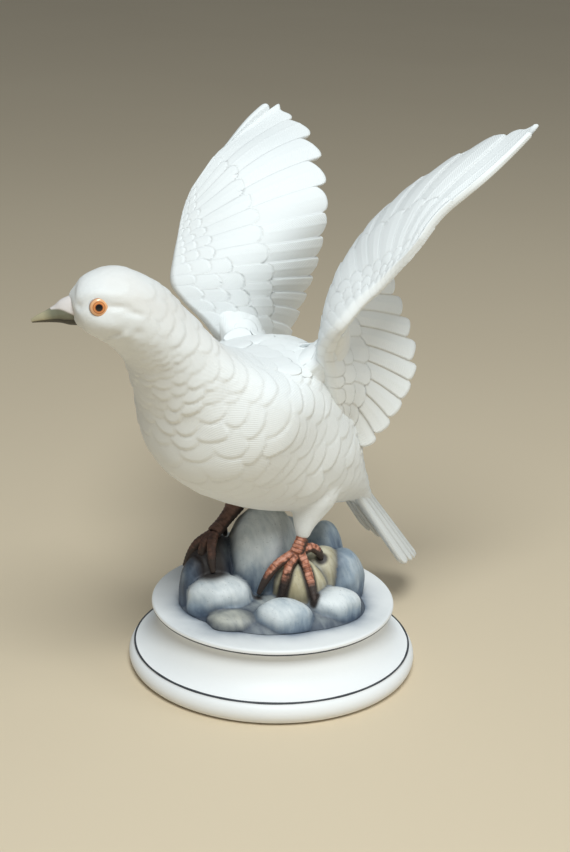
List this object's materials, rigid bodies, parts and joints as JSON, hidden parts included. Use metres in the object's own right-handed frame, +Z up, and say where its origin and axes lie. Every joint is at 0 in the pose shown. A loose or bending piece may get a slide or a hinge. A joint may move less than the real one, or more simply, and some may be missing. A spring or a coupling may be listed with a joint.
{
  "type": "dove statue",
  "caption": "Porcelain dove with raised, cupped wings perched on a heap of rocks, on a turned round base.",
  "frame": {"origin": "middle of the base's flat underside", "axes": "+Z up, the dove's breast faces -Y and its left side is +X"},
  "size_m": [0.1631, 0.2477, 0.2712],
  "materials": {
    "painted_bisque": "matte white bisque porcelain with hand-painted rocks, feet, beak and eyes",
    "banded_bisque": "matte white bisque porcelain with two thin dark lines"
  },
  "bodies": {
    "root": {"dove_on_rocks": "painted_bisque", "round_base": "banded_bisque"}
  },
  "joints": []
}
